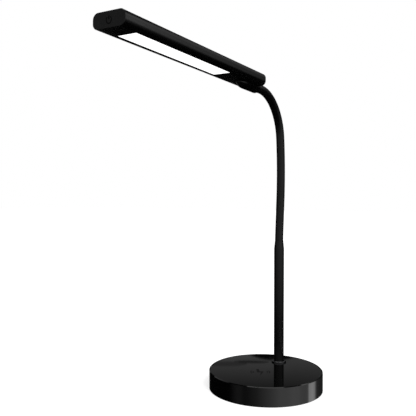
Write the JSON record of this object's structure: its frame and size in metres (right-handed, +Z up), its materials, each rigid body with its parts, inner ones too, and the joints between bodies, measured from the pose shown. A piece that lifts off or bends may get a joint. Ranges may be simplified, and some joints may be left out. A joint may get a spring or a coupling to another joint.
{
  "type": "gooseneck desk lamp",
  "caption": "Desk lamp with a round weighted charging base, an upright pole, a bendable neck and a slim lit bar head with a touch switch on its end.",
  "frame": {"origin": "centre of the base's underside, on the table", "axes": "+Z up, -Y from the pole towards the head's free end, X across the head"},
  "size_m": [0.1524, 0.3952, 0.4219],
  "materials": {
    "base_gloss": "gloss",
    "top_gloss": "polished",
    "pad_foam": "matte foam",
    "steel_plate": "zinc plated",
    "iron": "rough",
    "copper": "enamelled wire",
    "ferrite": "sintered",
    "circuit_board": "solder mask",
    "chip_black": "moulded",
    "plug_white": "moulded",
    "jack_black": "moulded",
    "pin_metal": "nickel plated",
    "screw_steel": "zinc plated",
    "collar_black_chrome": "black chrome",
    "pole_paint": "satin powder coat",
    "lead_pvc": "satin",
    "neck_sleeve": "satin silicone",
    "socket_black": "satin",
    "head_black": "satin",
    "cap_black": "satin",
    "opal_white": "opal, lit from behind",
    "tray_white": "matte",
    "led_aluminium": "white solder mask",
    "led_phosphor": "phosphor"
  },
  "bodies": {
    "base": {"base_housing": "base_gloss", "charging_top": "top_gloss", "foot_pad": "pad_foam", "base_bottom": "steel_plate", "weight_plate": "iron", "charging_coil": "copper", "ferrite_shield": "ferrite", "charger_board": "circuit_board", "charger_parts": "chip_black", "jack_board": "circuit_board", "lead_plug": "plug_white", "dc_jack": "jack_black", "jack_pin": "pin_metal", "bottom_screws": "screw_steel", "board_screws": "screw_steel", "pole_stud": "screw_steel", "pole_nut": "screw_steel", "pole_washer": "screw_steel", "pole_collar": "collar_black_chrome", "pole_tube": "pole_paint", "neck_ferrule": "pole_paint", "pole_lead": "lead_pvc", "neck_root": "neck_sleeve"},
    "link_01": {"neck_link_01": "neck_sleeve"},
    "link_02": {"neck_link_02": "neck_sleeve"},
    "link_03": {"neck_link_03": "neck_sleeve"},
    "link_04": {"neck_link_04": "neck_sleeve"},
    "link_05": {"neck_link_05": "neck_sleeve"},
    "link_06": {"neck_link_06": "neck_sleeve"},
    "link_07": {"neck_link_07": "neck_sleeve"},
    "link_08": {"neck_link_08": "neck_sleeve"},
    "link_09": {"neck_link_09": "neck_sleeve"},
    "link_10": {"neck_link_10": "neck_sleeve"},
    "link_11": {"neck_link_11": "neck_sleeve"},
    "head": {"neck_tip": "neck_sleeve", "neck_socket": "socket_black", "neck_nut": "screw_steel", "head_housing": "head_black", "front_cap": "cap_black", "rear_cap": "cap_black", "diffuser": "opal_white", "reflector_tray": "tray_white", "led_board": "led_aluminium", "led_chips": "led_phosphor", "touch_board": "circuit_board", "touch_pad": "pad_foam", "head_lead": "lead_pvc", "touch_lead": "lead_pvc"}
  },
  "joints": [
    {"name": "neck_01_bend", "type": "hinge", "parent": "base", "child": "link_01", "pos_m": [0, 0.04381, 0.20659], "axis": [1, 0, 0], "range_deg": [-20, 10]},
    {"name": "neck_02_sway", "type": "hinge", "parent": "link_01", "child": "link_02", "pos_m": [0, 0.04543, 0.22773], "axis": [0, 0.9971, -0.0767], "range_deg": [-15, 15]},
    {"name": "neck_03_bend", "type": "hinge", "parent": "link_02", "child": "link_03", "pos_m": [0, 0.04706, 0.24887], "axis": [1, 0, 0], "range_deg": [-20, 10]},
    {"name": "neck_04_sway", "type": "hinge", "parent": "link_03", "child": "link_04", "pos_m": [0, 0.04833, 0.27003], "axis": [0, 0.9992, -0.0391], "range_deg": [-15, 15]},
    {"name": "neck_05_bend", "type": "hinge", "parent": "link_04", "child": "link_05", "pos_m": [0, 0.04871, 0.29123], "axis": [1, 0, 0], "range_deg": [-20, 10]},
    {"name": "neck_06_sway", "type": "hinge", "parent": "link_05", "child": "link_06", "pos_m": [0, 0.04822, 0.31243], "axis": [0, 0.999, 0.044], "range_deg": [-15, 15]},
    {"name": "neck_07_bend", "type": "hinge", "parent": "link_06", "child": "link_07", "pos_m": [0, 0.04685, 0.33359], "axis": [1, 0, 0], "range_deg": [-20, 10]},
    {"name": "neck_08_sway", "type": "hinge", "parent": "link_07", "child": "link_08", "pos_m": [0, 0.04313, 0.3544], "axis": [0, 0.9475, 0.3199], "range_deg": [-15, 15]},
    {"name": "neck_09_bend", "type": "hinge", "parent": "link_08", "child": "link_09", "pos_m": [0, 0.03326, 0.37306], "axis": [1, 0, 0], "range_deg": [-25, 5]},
    {"name": "neck_10_sway", "type": "hinge", "parent": "link_09", "child": "link_10", "pos_m": [0, 0.018, 0.38764], "axis": [0, 0.566, 0.8244], "range_deg": [-15, 15]},
    {"name": "neck_11_bend", "type": "hinge", "parent": "link_10", "child": "link_11", "pos_m": [0, -0.0011, 0.39665], "axis": [1, 0, 0], "range_deg": [-25, 5]},
    {"name": "neck_12_sway", "type": "hinge", "parent": "link_11", "child": "head", "pos_m": [0, -0.02206, 0.39932], "axis": [0, 0.0279, 0.9996], "range_deg": [-15, 15]}
  ]
}
